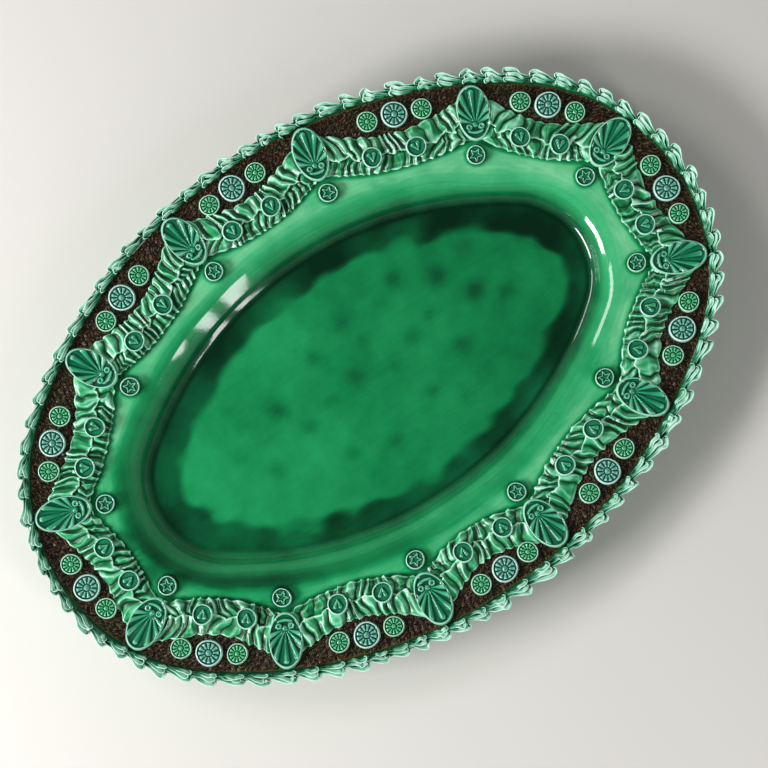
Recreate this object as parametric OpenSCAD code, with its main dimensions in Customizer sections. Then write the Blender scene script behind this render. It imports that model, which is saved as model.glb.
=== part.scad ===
// Oval serving platter of glazed earthenware with applied ornaments, in millimetres.
// The outline is an oval of four arcs: two small ones at the ends, two large ones along the sides.
// Their centres are set out on a triangle with sides of 3, 4 and 5 parts, so that the arcs run on smoothly.
// Every ring and ornament keeps a fixed distance inward from that outline, called its inset.
// The long axis is X, Z points up, and the origin is under the middle of the foot.

/* [Platter] */
// Length over the frilled rim
platter_l = 490; // [450:5:560]
// Width over the frilled rim
platter_w = 340; // [325:5:375]
// Thickness of the pressed slab of clay
slab_t = 6; // [4.5:0.5:7]

/* [Well] */
// Radius of the broad rounded shoulder between flange and cavetto
shoulder_r = 26; // [18:1:30]
// Radius at the foot of the cavetto, where it meets the floor
cavetto_r = 8; // [4:0.5:12]
// Steepness of the cavetto wall, in degrees
cavetto_slope = 52; // [40:1:60]
// Length of the straight wall between the shoulder and the foot of the cavetto
wall_len = 1.5; // [0.5:0.5:8]

/* [Flange] */
// Width of plain flange between the star buttons and the shoulder
flange_margin = 0.8; // [0.4:0.2:6]
// Rise of the flange towards its edge, in degrees
flange_slope = 8; // [2:1:12]
// Inset of the slab's edge, which the frill overhangs
edge_in = 2; // [1:0.5:3]
// Rounding of the slab's edge
edge_r = 1.5; // [1:0.5:2]
// Width that the level land under the frill goes on inside it
land_margin = 0.4; // [0.4:0.2:2]

/* [Foot ring] */
// Height of the foot ring
foot_h = 5; // [3:0.5:10]
// Distance from the edge of the floor in to the foot ring, as a share of the radius of the well's ends
foot_back_share = 0.06; // [0.02:0.01:0.15]
// Width of the foot ring where it joins the slab, as a share of the same radius
foot_top_share = 0.19; // [0.14:0.01:0.26]
// Width of the foot ring where it stands, as a share of the same radius
foot_base_share = 0.125; // [0.08:0.005:0.14]

/* [Grit band] */
// Distance from the level land to the band
band_back = 0.5; // [0.2:0.1:1.5]
// Width of the band that is hidden under the ribbons where they hang lowest
band_lap = 8; // [4:0.2:9]
// Thickness of the band
band_t = 1; // [0.6:0.1:2]

/* [Frill] */
// Number of lobes round the rim
lobes = 84; // [60:12:108]
// Depth of the pinches between lobes
lobe_depth = 2.2; // [1:0.2:3]
// Thickness of the outer, middle and inner frill
frill_t = 1.2; // [1:0.1:1.5]
// Inset from one frill to the next
frill_pitch = 2.1; // [1.8:0.1:2.6]
// Height of the outer frill
frill_h = 7; // [5:0.5:10]
// Drop in height from one frill to the next
frill_step = 0.6; // [0.2:0.1:1]
// Thickness of the strip that the frills stand on
frill_base_t = 2.5; // [1.5:0.5:4]
// Lip of the strip round the frills
frill_lip = 0.4; // [0.2:0.1:0.8]

/* [Plaques] */
// Distance from the frill's pinches to the plaques
plaque_back = 1.3; // [0.5:0.1:3]
// Length of a plaque, across the flange
plaque_l = 35; // [30:0.5:36]
// Width of a plaque
plaque_w = 21; // [17:0.5:24]
// Thickness of a plaque
plaque_t = 4; // [3:0.5:6]
// Width of a plaque's raised rim
plaque_rim_w = 1.3; // [0.8:0.1:2]
// Height of the raised rim over the field
plaque_rim_h = 1; // [0.5:0.1:2]
// Height of the palmette over the field
relief_h = 1.6; // [0.8:0.1:2.5]

/* [Ribbon swags] */
// Distance from the large rosettes to the ribbon where it hangs lowest
swag_back = 3.2; // [1.5:0.1:6]
// Sag of a ribbon's middle line from its ends to its lowest point
swag_sag = 9; // [5:0.5:11]
// Width of a ribbon's outer row of pleats at its ends, where it spreads behind the plaques
outer_row_end_w = 16.5; // [9:0.5:18]
// Width of the outer row where it hangs lowest
outer_row_low_w = 12; // [9:0.5:14]
// Width of the inner row at its ends
inner_row_end_w = 9; // [7:0.5:10]
// Width of the inner row where it hangs lowest
inner_row_low_w = 10.7; // [8:0.1:12]
// Distance from one pleat to the next
pleat_pitch = 3.8; // [3.4:0.2:8]
// Height of a pleat's crest
pleat_h = 4; // [3:0.1:6]
// Depth of the groove between two pleats
pleat_depth = 1.5; // [0.5:0.1:2]
// Height of the gathered ridge along the middle
ridge_h = 5; // [4:0.1:7]
// Height of a ribbon's two edges
hem_h = 1.6; // [1:0.1:2.5]
// Swing of the edges from pleat to pleat
hem_swing = 0.6; // [0:0.1:1]

/* [Buttons] */
// Diameter of a heart button
heart_d = 13; // [10:0.5:14]
// Thickness of a heart button
heart_t = 3; // [2:0.5:4]
// Depth to which a heart button is pressed into the pleats of its ribbon
heart_sink = 0.8; // [0.2:0.1:1.4]
// Gap between the two heart buttons of one ribbon
heart_gap = 18; // [12:0.5:20]
// Diameter of a star button
star_d = 12; // [9:0.5:13]
// Thickness of a star button
star_t = 3; // [2:0.5:4]
// Gap between a plaque and its star button
star_gap = 3; // [1:0.5:6]
// Width of the raised rim of the heart and star buttons
button_rim_w = 1.2; // [0.8:0.1:1.6]
// Height of the raised rim and of the heart or star over the field
button_relief_h = 0.9; // [0.4:0.1:1.5]

/* [Rosettes] */
// Distance from the frill's pinches to the large rosettes
rosette_back = 4; // [1:0.2:6]
// Diameter of a large rosette
large_rosette_d = 16.5; // [14:0.5:17]
// Diameter of a small rosette
small_rosette_d = 13; // [10:0.5:14]
// Gap between the large rosette and each of the small ones
rosette_gap = 3.2; // [1:0.2:5]
// Thickness of a rosette's disc
rosette_t = 3.2; // [2:0.2:5]
// Height of a rosette's rim over its disc
rosette_rim_h = 1; // [0.5:0.1:2]
// Width of a rosette's rim
rosette_rim_w = 1.2; // [0.8:0.1:1.6]
// Height of the boss in a rosette's middle
boss_h = 1.2; // [0.5:0.1:2]
// Number of petals of a rosette
petals = 12; // [6:1:14]

/* [Hidden] */
// Places of the twelve plaques, as shares of the way round the rim from the end of the long axis
plaque_shares = [0.032, 0.112, 0.207, 0.293, 0.381, 0.465, 0.544, 0.623, 0.708, 0.783, 0.872, 0.954];
// Places of the twelve large rosettes
rosette_shares = [0.073, 0.157, 0.254, 0.338, 0.425, 0.507, 0.583, 0.668, 0.750, 0.826, 0.913, 0.992];
// Middle of each pair of heart buttons
heart_shares = [0.072, 0.161, 0.255, 0.342, 0.425, 0.507, 0.588, 0.669, 0.749, 0.828, 0.909, 0.992];

// Radius of the oval's ends, as a share of its width
end_round_share = 53 / 136;
// Clearance where one piece of clay is stuck on another
seat_gap = 0.1;
// Clearance between pieces that lie side by side
side_gap = 0.4;
// Overrun of a cut past the surface that it opens
cut = 1;

// Colours of the glaze over the pieces
well_green = [0.06, 0.5, 0.27];
swag_green = [0.3, 0.75, 0.5];
plaque_green = [0.1, 0.5, 0.38];
pale_green = [0.55, 0.85, 0.7];
rosette_green = [0.35, 0.7, 0.6];
grit_brown = [0.16, 0.1, 0.06];
clay = [0.75, 0.62, 0.45];

// Smoothness of the arcs and of the small discs
$fn = 180;
disc_fn = 48;
arc_steps = 8;
lobe_steps = 4;
ellipse_steps = 36;
petal_steps = 4;

// The oval: centres and radii of its end and side arcs, which meet smoothly, and half the angle of each arc
end_r = end_round_share * platter_w;
end_c = platter_l / 2 - end_r;
flatness = platter_w / 2 - end_r;
side_c = (pow(end_c, 2) - pow(flatness, 2)) / (2 * flatness);
side_r = platter_w / 2 + side_c;
end_half = atan2(side_c, end_c);
side_half = 90 - end_half;

// Insets of what lies on the flange, from the frill inward
frill_in = frill_lip;
frill_w = 2 * frill_lip + 2 * frill_pitch + frill_t + lobe_depth;
land_in = frill_w + land_margin;
band_out_in = land_in + band_back;
plaque_in = frill_w + plaque_back + plaque_l / 2;
rosette_in = frill_w + rosette_back + large_rosette_d / 2;
swag_low_in = rosette_in + large_rosette_d / 2 + swag_back + outer_row_low_w;
swag_end_in = swag_low_in - swag_sag;
band_inner_in = swag_low_in - outer_row_low_w + band_lap;
star_in = plaque_in + plaque_l / 2 + star_gap + star_d / 2;
flange_w = max(star_in + star_d / 2, swag_low_in + inner_row_low_w) + flange_margin;
heart_seat = pleat_h - heart_sink;
heart_pitch = heart_d + heart_gap;
rosette_pitch = (large_rosette_d + small_rosette_d) / 2 + rosette_gap;

// Heights
arcs_drop = shoulder_r * (cos(flange_slope) - cos(cavetto_slope)) + cavetto_r * (1 - cos(cavetto_slope));
well_depth = arcs_drop + wall_len * sin(cavetto_slope);
floor_z = foot_h + slab_t;
shoulder_z = floor_z + well_depth;
land_z = shoulder_z + (flange_w - land_in) * tan(flange_slope);
function flange_z(inset) = land_z - (inset - land_in) * tan(flange_slope);

// The way round a ring of the given inset
function arc_len(r, degrees) = r * degrees * PI / 180;
function end_len(inset) = arc_len(end_r - inset, end_half);
function quarter_len(inset) = end_len(inset) + arc_len(side_r - inset, side_half);
function ring_len(inset) = 4 * quarter_len(inset);
function quarter_angle(len, inset) =
    len <= end_len(inset)
        ? len / arc_len(end_r - inset, 1)
        : end_half + (len - end_len(inset)) / arc_len(side_r - inset, 1);
function angle_at(share, inset) =
    let (part = 4 * (share - floor(share)), k = floor(part), q = quarter_len(inset))
    k % 2 == 0
        ? 90 * k + quarter_angle((part - k) * q, inset)
        : 90 * (k + 1) - quarter_angle((k + 1 - part) * q, inset);
function on_end(angle) = atan2(abs(sin(angle)), abs(cos(angle))) <= end_half;
function arc_r(angle) = on_end(angle) ? end_r : side_r;
function arc_centre(angle) = on_end(angle) ? [sign(cos(angle)) * end_c, 0] : [0, -sign(sin(angle)) * side_c];
function oval_point(angle, inset) =
    arc_centre(angle) + (arc_r(angle) - inset) * [cos(angle), sin(angle)];

// One arc of a ring: a profile swept half a turn about the arc's centre, cut off where the next arc starts
module arc_of_ring(centre, r, middle, corners) {
    $axis_in = r;
    intersection() {
        translate(centre) rotate([0, 0, middle - 90])
            rotate_extrude(angle = 180) translate([r, 0]) children();
        translate([0, 0, -cut]) linear_extrude(land_z + 2 * cut) polygon(corners);
    }
}

// Sweeps a profile round the oval. The profile's X is 0 on the outline, negative inside it,
// and -$axis_in at the centre of the arc, which a profile that fills the oval reaches.
// The lines along which the arcs meet run from the ends' centres out to the far corners, beyond the rim.
module round_oval() {
    far = [end_c + end_c * platter_w / side_c, platter_w];
    for (side = [-1, 1]) {
        arc_of_ring([side * end_c, 0], end_r, 90 - side * 90,
            [[side * end_c, 0], [side * far[0], -far[1]], [side * far[0], far[1]]]) children();
        arc_of_ring([0, -side * side_c], side_r, side * 90,
            [[-end_c, 0], [end_c, 0], [far[0], side * far[1]], [-far[0], side * far[1]]]) children();
    }
}

// Stands a piece on the flange with its own X outward, tilted as the flange is
module on_flange(angle, inset, lift = seat_gap) {
    place = oval_point(angle, inset);
    translate([place[0], place[1], flange_z(inset)]) rotate([0, 0, angle]) rotate([0, -flange_slope, 0])
        translate([0, 0, lift]) children();
}

function arc(centre, r, from, to) =
    [for (i = [0:arc_steps]) let (a = from + (to - from) * i / arc_steps) centre + r * [-sin(a), cos(a)]];
function reversed(list) = [for (i = [len(list) - 1:-1:0]) list[i]];
function ellipse(l, w) = [for (i = [0:ellipse_steps - 1]) let (a = 360 * i / ellipse_steps)
    [l / 2 * cos(a), w / 2 * sin(a)]];

// The dish: the shoulder and cavetto arcs of its upper side, which its lower side runs parallel to
shoulder_c = [-flange_w, shoulder_z] + shoulder_r * [sin(flange_slope), -cos(flange_slope)];
cavetto_c = shoulder_c + (shoulder_r + cavetto_r) * [-sin(cavetto_slope), cos(cavetto_slope)]
    - wall_len * [cos(cavetto_slope), sin(cavetto_slope)];
well_in = -cavetto_c[0];
well_end_r = end_r - well_in;

module dish_profile() {
    top = concat(
        arc([-edge_in - edge_r, land_z - edge_r], edge_r, -90, 0),
        [[-land_in, land_z]],
        arc(shoulder_c, shoulder_r, flange_slope, cavetto_slope),
        arc(cavetto_c, -cavetto_r, cavetto_slope, 0),
        [[-$axis_in, floor_z]]);
    bottom = concat(
        arc([-edge_in - edge_r, land_z - slab_t + edge_r], edge_r, -90, -180),
        [[-land_in + slab_t * tan(flange_slope / 2), land_z - slab_t]],
        arc(shoulder_c, shoulder_r - slab_t, flange_slope, cavetto_slope),
        arc(cavetto_c, -cavetto_r - slab_t, cavetto_slope, 0),
        [[-$axis_in, floor_z - slab_t]]);
    polygon(concat(top, reversed(bottom)));
}

// A band let into the flange, smaller than its bed by the clearance and as much taller as asked
module band_profile(clearance, over) {
    from = band_out_in + clearance;
    to = band_inner_in - clearance;
    polygon([
        [-from, flange_z(from) + over], [-to, flange_z(to) + over],
        [-to, flange_z(to) - band_t + clearance], [-from, flange_z(from) - band_t + clearance]]);
}

module body() {
    color(well_green) round_oval() difference() {
        dish_profile();
        band_profile(0, cut);
    }
}

module foot_ring() {
    foot_top_w = foot_top_share * well_end_r;
    bevel = (foot_top_share - foot_base_share) * well_end_r / 2;
    outer = -well_in - foot_back_share * well_end_r;
    color(clay) round_oval() polygon([
        [outer, foot_h], [outer - foot_top_w, foot_h],
        [outer - foot_top_w + bevel, 0], [outer - bevel, 0]]);
}

module grit_band() {
    color(grit_brown) round_oval() band_profile(seat_gap, 0);
}

// The frill: lobes that bulge outward from pinch to pinch, 0 at the crest of a lobe and 1 at a pinch
lobes_per_length = lobes / len(plaque_shares);
lobe_round_share = 0.6;
function pinch(t) = 1 - pow(abs(sin(180 * t)), lobe_round_share);
function frill_line(first, inset) =
    [for (i = [0:lobe_steps * lobes_per_length])
        let (
            trim = side_gap / 2 * (i == 0 ? 1 : i == lobe_steps * lobes_per_length ? -1 : 0),
            t = first + i / lobe_steps,
            share = (t - 0.5) / lobes + trim / ring_len(frill_in))
        oval_point(angle_at(share, frill_in), inset + lobe_depth * pinch(t))];

// One strip of clay with wavy sides
module frill_strip(first, inset, width, h) {
    linear_extrude(h) polygon(concat(frill_line(first, inset), reversed(frill_line(first, inset + width))));
}

module rim_frill(i) {
    first = i * lobes_per_length;
    color(pale_green) translate([0, 0, land_z + seat_gap]) {
        frill_strip(first, 0, frill_w - lobe_depth, frill_base_t);
        translate([0, 0, frill_base_t]) for (layer = [0:2])
            frill_strip(first, frill_in + layer * frill_pitch, frill_t,
                frill_h - frill_base_t - layer * frill_step);
    }
}

// An oval plaque with a raised rim. Its palmette fans outward from a scroll at the inner end.
fronds = 4;
frond_angle = 22;
frond_w = 2.6;
frond_share = 0.9;
cuff_share = 0.8;
palmette_root_share = -0.45;
scroll_d = 3.4;
cuff_w = 1.8;
palmette_root = palmette_root_share * plaque_l / 2;
// Distance from the palmette's root to the rim in a given direction
function to_rim(angle) =
    let (
        half_l = plaque_l / 2 - plaque_rim_w,
        half_w = plaque_w / 2 - plaque_rim_w,
        p = pow(cos(angle) / half_l, 2) + pow(sin(angle) / half_w, 2),
        q = palmette_root * cos(angle) / pow(half_l, 2),
        s = pow(palmette_root / half_l, 2) - 1)
    (sqrt(q * q - p * s) - q) / p;
function frond(l, w) = concat(
    [for (i = [0:petal_steps]) let (t = i / petal_steps) [l * t, w / 2 * sin(180 * pow(t, 2))]],
    [for (i = [petal_steps - 1:-1:1]) let (t = i / petal_steps) [l * t, -w / 2 * sin(180 * pow(t, 2))]]);

module palmette() {
    translate([palmette_root, 0]) {
        for (k = [0:fronds - 1], side = [-1, 1])
            rotate(side * k * frond_angle) polygon(frond(frond_share * to_rim(k * frond_angle), frond_w));
        circle(d = scroll_d, $fn = disc_fn);
        translate([-scroll_d / 2, 0])
            square([cuff_w, plaque_w * cuff_share / 2], center = true);
        for (side = [-1, 1]) translate([-scroll_d / 2, side * scroll_d])
            circle(d = scroll_d, $fn = disc_fn);
    }
}

module oval_plaque(i) {
    angle = angle_at(plaque_shares[i], plaque_in);
    color(plaque_green) on_flange(angle, plaque_in) {
        linear_extrude(plaque_t) polygon(ellipse(plaque_l, plaque_w));
        linear_extrude(plaque_t + plaque_rim_h) difference() {
            polygon(ellipse(plaque_l, plaque_w));
            polygon(ellipse(plaque_l - 2 * plaque_rim_w, plaque_w - 2 * plaque_rim_w));
        }
        linear_extrude(plaque_t + relief_h) palmette();
    }
}

// A ribbon swag: a pleated strip between two plaques. Across it, -1 is its outer edge and 1 its inner.
section_shares = [-1, -0.55, 0, 0.55, 1];
flank_share = 0.21;
function sag(u) = 4 * u * (1 - u);
function row_w(u, w) = w < 0
    ? outer_row_end_w + (outer_row_low_w - outer_row_end_w) * sag(u)
    : inner_row_end_w + (inner_row_low_w - inner_row_end_w) * sag(u);
function swag_in(u, w) = swag_end_in + (swag_low_in - swag_end_in) * sag(u) + w * row_w(u, w);
// Distance by which a plaque, square to the sloping flange, leans inward at the height of the pleats
plaque_lean = ridge_h * sin(flange_slope);
// Share of the way round that a plaque's flank and its clearance take up at a given inset
function flank(share, inset) =
    let (
        angle = angle_at(share, plaque_in),
        off = (inset - max(plaque_in, min(inset, plaque_in + plaque_lean))) / (plaque_l / 2),
        half = plaque_w / 2 * sqrt(max(1 - off * off, flank_share)) + side_gap)
    half * (arc_r(angle) - plaque_in) / (arc_r(angle) - inset) / ring_len(plaque_in);
function next_share(i) = i + 1 < len(plaque_shares) ? plaque_shares[i + 1] : plaque_shares[0] + 1;
function swag_share(i, u, w) =
    let (
        from = plaque_shares[i] + flank(plaque_shares[i], swag_in(0, w)),
        to = next_share(i) - flank(next_share(i), swag_in(1, w)))
    from + (to - from) * u;
function pleats(i) = round((next_share(i) - plaque_shares[i] - plaque_w / ring_len(plaque_in))
    * ring_len(plaque_in) / pleat_pitch);
function swag_point(i, u, w, h, swing) =
    let (inset = swag_in(u, w) + w * swing, angle = angle_at(swag_share(i, u, w), plaque_in),
        place = oval_point(angle, inset))
    [place[0], place[1], flange_z(inset) + seat_gap + h];
function section_height(w, crest) =
    abs(w) == 1 ? hem_h
        : w == 0 ? ridge_h - (crest ? 0 : pleat_depth / 2)
        : pleat_h - (crest ? 0 : pleat_depth);
function swag_section(i, u, crest) =
    let (
        swing = crest ? hem_swing : -hem_swing,
        top = [for (w = section_shares)
            swag_point(i, u, w, section_height(w, crest), abs(w) == 1 ? swing : 0)],
        foot = [for (w = section_shares) swag_point(i, u, w, 0, abs(w) == 1 ? swing : 0)])
    concat(top, reversed(foot));

module pleated_strip(i) {
    steps = 2 * pleats(i);
    size = 2 * len(section_shares);
    points = [for (s = [0:steps]) each swag_section(i, s / steps, s % 2 == 1)];
    sides = [for (s = [0:steps - 1], k = [0:size - 1])
        let (a = s * size + k, b = s * size + (k + 1) % size)
        each [[a, b, b + size], [a, b + size, a + size]]];
    first = [for (k = [0:size / 2 - 2]) each
        [[k + 1, k, size - 1 - k], [k + 1, size - 1 - k, size - 2 - k]]];
    end = steps * size * [1, 1, 1];
    last = [for (face = first) end + reversed(face)];
    polyhedron(points, concat(sides, first, last), convexity = 10);
}

// The two heart buttons of a ribbon stand on its middle line
function heart_share(i, side) = heart_shares[i] + side * heart_pitch / 2 / ring_len(plaque_in);
function heart_in(i, side) =
    swag_in((heart_share(i, side) - plaque_shares[i]) / (next_share(i) - plaque_shares[i]), 0);
module at_heart(i, side) {
    on_flange(angle_at(heart_share(i, side), plaque_in), heart_in(i, side), heart_seat + seat_gap) children();
}

// The three rosettes that stand on the band in the bay of a ribbon
module at_rosette(i, side) {
    share = rosette_shares[i] + side * rosette_pitch / ring_len(rosette_in);
    on_flange(angle_at(share, rosette_in), rosette_in) children();
}

module ribbon_swag(i) {
    color(swag_green) difference() {
        pleated_strip(i);
        for (side = [-1, 0, 1]) at_rosette(i, side) translate([0, 0, -cut])
            cylinder(d = (side == 0 ? large_rosette_d : small_rosette_d) + 2 * side_gap,
                h = ridge_h + 2 * cut, $fn = disc_fn);
        for (side = [-1, 1]) at_heart(i, side) translate([0, 0, -seat_gap])
            cylinder(d = heart_d + 2 * side_gap, h = ridge_h + cut, $fn = disc_fn);
    }
}

// A pressed button: a dished disc with a raised rim, and a flat figure in its field
module button(d, t, rim_w, rim_h) {
    rotate_extrude($fn = disc_fn) polygon([
        [0, 0], [d / 2, 0], [d / 2, t + rim_h], [d / 2 - rim_w, t + rim_h], [d / 2 - rim_w, t], [0, t]]);
    linear_extrude(t + rim_h) children();
}

heart_size_share = 0.48;
module heart_figure() {
    size = heart_d * heart_size_share;
    lobe_r = size / 4;
    for (side = [-1, 1]) translate([lobe_r, side * lobe_r]) circle(r = lobe_r, $fn = disc_fn);
    polygon([[lobe_r, -2 * lobe_r], [lobe_r, 2 * lobe_r], [-size / 2, 0]]);
}

module heart_buttons() {
    color(plaque_green) for (i = [0:len(heart_shares) - 1], side = [-1, 1])
        at_heart(i, side) button(heart_d, heart_t, button_rim_w, button_relief_h) heart_figure();
}

star_points = 5;
star_inner_share = 0.45;
star_size_share = 0.7;
module star_figure() {
    polygon([for (i = [0:2 * star_points - 1])
        let (
            a = 180 * i / star_points,
            r = star_d / 2 * star_size_share * (i % 2 == 0 ? 1 : star_inner_share))
        r * [cos(a), sin(a)]]);
}

module star_buttons() {
    color(pale_green) for (share = plaque_shares) on_flange(angle_at(share, plaque_in), star_in)
        button(star_d, star_t, button_rim_w, button_relief_h) star_figure();
}

// A rosette: a disc with a rim, a round boss, and petals that stand free between them
boss_share = 0.28;
petal_from_share = 0.38;
petal_to_share = 0.74;
petal_fill_share = 0.6;
module rosette(d) {
    boss_d = d * boss_share;
    button(d, rosette_t, rosette_rim_w, rosette_rim_h) circle(d = boss_d, $fn = disc_fn);
    translate([0, 0, rosette_t]) cylinder(d = boss_d * petal_fill_share, h = boss_h, $fn = disc_fn);
    from = petal_from_share * d / 2;
    to = petal_to_share * d / 2;
    fill = petal_fill_share * PI / petals;
    linear_extrude(rosette_t + rosette_rim_h * petal_fill_share) for (k = [0:petals - 1])
        rotate(360 * k / petals) polygon([
            [from, 0], [to, -fill * to], [to + fill * to, 0], [to, fill * to]]);
}

module rosettes(i) {
    color(rosette_green) for (side = [-1, 0, 1])
        at_rosette(i, side) rosette(side == 0 ? large_rosette_d : small_rosette_d);
}

body();
foot_ring();
grit_band();
heart_buttons();
star_buttons();
for (i = [0:len(plaque_shares) - 1]) {
    number = str(i < 9 ? "_0" : "_", i + 1);
    ribbon_swag(i);
    oval_plaque(i);
    rim_frill(i);
    rosettes(i);
}
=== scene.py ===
import math

import bpy
import numpy as np
from mathutils import Matrix, Vector


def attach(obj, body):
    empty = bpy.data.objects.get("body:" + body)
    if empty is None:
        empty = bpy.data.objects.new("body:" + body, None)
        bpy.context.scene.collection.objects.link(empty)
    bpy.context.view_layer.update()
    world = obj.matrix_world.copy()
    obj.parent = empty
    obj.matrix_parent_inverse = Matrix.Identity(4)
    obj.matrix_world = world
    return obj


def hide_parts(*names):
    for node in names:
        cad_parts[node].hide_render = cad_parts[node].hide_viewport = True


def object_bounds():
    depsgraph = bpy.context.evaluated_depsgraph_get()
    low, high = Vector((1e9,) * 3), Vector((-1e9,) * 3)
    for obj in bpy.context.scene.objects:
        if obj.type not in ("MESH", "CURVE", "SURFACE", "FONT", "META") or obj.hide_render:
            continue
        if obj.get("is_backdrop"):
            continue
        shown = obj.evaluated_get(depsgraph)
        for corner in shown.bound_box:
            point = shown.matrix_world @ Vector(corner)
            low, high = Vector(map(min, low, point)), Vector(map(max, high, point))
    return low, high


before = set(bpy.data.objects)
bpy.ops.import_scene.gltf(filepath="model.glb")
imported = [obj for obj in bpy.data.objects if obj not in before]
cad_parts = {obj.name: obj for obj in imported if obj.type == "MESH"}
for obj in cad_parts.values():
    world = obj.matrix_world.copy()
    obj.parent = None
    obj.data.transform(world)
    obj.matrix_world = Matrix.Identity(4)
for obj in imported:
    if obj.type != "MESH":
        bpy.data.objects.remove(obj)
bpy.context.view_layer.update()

# The dish: one slab of buff clay pressed over a mould, with a flat well, a rounded wall and a broad flange.
# Emerald lead glaze covers it, thin and light on the flange and almost black where it ran down and pooled.
# Its outline is an oval of four arcs. A place on it is given by its inset from that outline, in mm.
END_CENTRE, END_RADIUS = 112.5, 132.5
SIDE_CENTRE, SIDE_RADIUS = 150.0, 320.0
END_HALF = math.atan2(SIDE_CENTRE, END_CENTRE)
FLANGE_DEGREES = 8
FLANGE_SLOPE = math.radians(FLANGE_DEGREES)
LAND_INSET, LAND_HEIGHT = 8.8, 32.2625
FLOOR_HEIGHT, SLAB = 11.0, 6.0
EDGE_INSET, EDGE_ROUND = 3.7, 1.5
WELL_INSET = 84.597
SHOULDER, SHOULDER_RADIUS = (56.88, -0.75), 26.0
HOLLOW, HOLLOW_RADIUS = (WELL_INSET, 19.0), 8.0
WALL_DEGREES = 52
BAND_OUTER, BAND_INNER, BED_DEPTH = 9.4, 40.0, 1.2
# Shares of the way round at which the plaques stand, measured on the line that runs through their middles
ORNAMENT_LINE = 27.2
PLAQUES = np.array(
    [0.032, 0.112, 0.207, 0.293, 0.381, 0.465, 0.544, 0.623, 0.708, 0.783, 0.872, 0.954, 1.032]
)
STAR_INSET, STAR_RADIUS = 53.7, 6.0


def quarter_of(inset):
    """Length of the end's part, and of the whole, of a quarter of the way round at an inset."""
    end_part = (END_RADIUS - inset) * END_HALF
    return end_part, end_part + (SIDE_RADIUS - inset) * (math.pi / 2 - END_HALF)


def outward_at(share, line=ORNAMENT_LINE):
    """The direction straight out of the dish at a share of the way round a line of the given inset."""
    part = 4 * np.mod(share, 1.0)
    corner = np.floor(part)
    even = corner % 2 == 0
    end_part, quarter = quarter_of(line)
    run = np.where(even, part - corner, corner + 1 - part) * quarter
    turn = np.where(
        run <= end_part,
        run / (END_RADIUS - line),
        END_HALF + (run - end_part) / (SIDE_RADIUS - line),
    )
    return np.where(even, corner, corner + 1) * math.pi / 2 + np.where(even, turn, -turn)


def spot_at(outward, inset):
    """Where on the dish, in mm, a spot of an inset lies from which a direction leads straight out."""
    c, s = np.cos(outward), np.sin(outward)
    on_end = np.abs(s) * END_CENTRE <= np.abs(c) * SIDE_CENTRE + 1e-9
    radius = np.where(on_end, END_RADIUS, SIDE_RADIUS) - inset
    x = np.where(on_end, np.sign(c) * END_CENTRE, 0) + radius * c
    y = np.where(on_end, 0, -np.sign(s) * SIDE_CENTRE) + radius * s
    return x, y


def on_end_arc(x, y):
    return np.abs(y) * END_CENTRE <= (np.abs(x) - END_CENTRE) * SIDE_CENTRE


def inset_of(x, y):
    return np.where(
        on_end_arc(x, y),
        END_RADIUS - np.hypot(np.abs(x) - END_CENTRE, y),
        SIDE_RADIUS - np.hypot(x, np.abs(y) + SIDE_CENTRE),
    )


def share_of(x, y):
    end_part, quarter = quarter_of(ORNAMENT_LINE)
    on_end = on_end_arc(x, y)
    turn = np.where(
        on_end,
        np.arctan2(np.abs(y), np.abs(x) - END_CENTRE),
        math.pi / 2 - np.arctan2(np.abs(x), np.abs(y) + SIDE_CENTRE),
    )
    run = np.where(
        on_end,
        turn * (END_RADIUS - ORNAMENT_LINE),
        end_part + (turn - END_HALF) * (SIDE_RADIUS - ORNAMENT_LINE),
    )
    part = run / quarter / 4
    return np.where(y >= 0, np.where(x >= 0, part, 0.5 - part), np.where(x < 0, 0.5 + part, 1 - part))


def flange_height(inset):
    return LAND_HEIGHT - np.maximum(inset - LAND_INSET, 0) * math.tan(FLANGE_SLOPE)


def swag_inset(along, across):
    """Inset of a spot on a ribbon swag; across runs from -1 at its outer edge to 1 at its inner edge."""
    sag = 4 * along * (1 - along)
    row = np.where(across < 0, 16.5 - 4.5 * sag, 9.0 + 1.7 * sag)
    return 35.1 + 9.0 * sag + across * row


def hand_swell(x, y, size, seed):
    """Gentle unevenness of hand-pressed clay, about -1 to 1, with swells of the given size in mm."""
    waves = np.random.default_rng(seed)
    total = 0
    for heading, start, stretch in waves.uniform([0, 0, 0.7], [2 * math.pi, 2 * math.pi, 1.5], (7, 3)):
        total = total + np.sin(
            (x * math.cos(heading) + y * math.sin(heading)) * 2 * math.pi / (size * stretch) + start
        )
    return total / 3.2


def ease(value, low, high):
    t = np.clip((value - low) / (high - low), 0, 1)
    return t * t * (3 - 2 * t)


def clay_sheet(name, along, across):
    """A plain sheet of clay of so many cells, with each corner's share along and across it."""
    bpy.ops.object.select_all(action="DESELECT")
    bpy.ops.mesh.primitive_grid_add(x_subdivisions=along, y_subdivisions=across, size=2)
    piece = bpy.context.object
    piece.name = piece.data.name = name
    corners = np.empty(3 * len(piece.data.vertices))
    piece.data.vertices.foreach_get("co", corners)
    return piece, corners[0::3] / 2 + 0.5, corners[1::3] / 2 + 0.5


def lay_clay(piece, x, y, z):
    piece.data.vertices.foreach_set("co", np.stack([x, y, z], 1).ravel() * 0.001)
    piece.data.update()


def form_clay(piece, x, y, z):
    """Brings the sheet to its form, in mm, and closes the seams, the poles and the open ends."""
    lay_clay(piece, x, y, z)
    bpy.ops.object.mode_set(mode="EDIT")
    bpy.ops.mesh.select_all(action="SELECT")
    bpy.ops.mesh.remove_doubles(threshold=2e-6)
    bpy.ops.mesh.fill_holes(sides=0)
    bpy.ops.mesh.normals_make_consistent(inside=False)
    bpy.ops.object.mode_set(mode="OBJECT")
    bpy.ops.object.shade_smooth()


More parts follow.
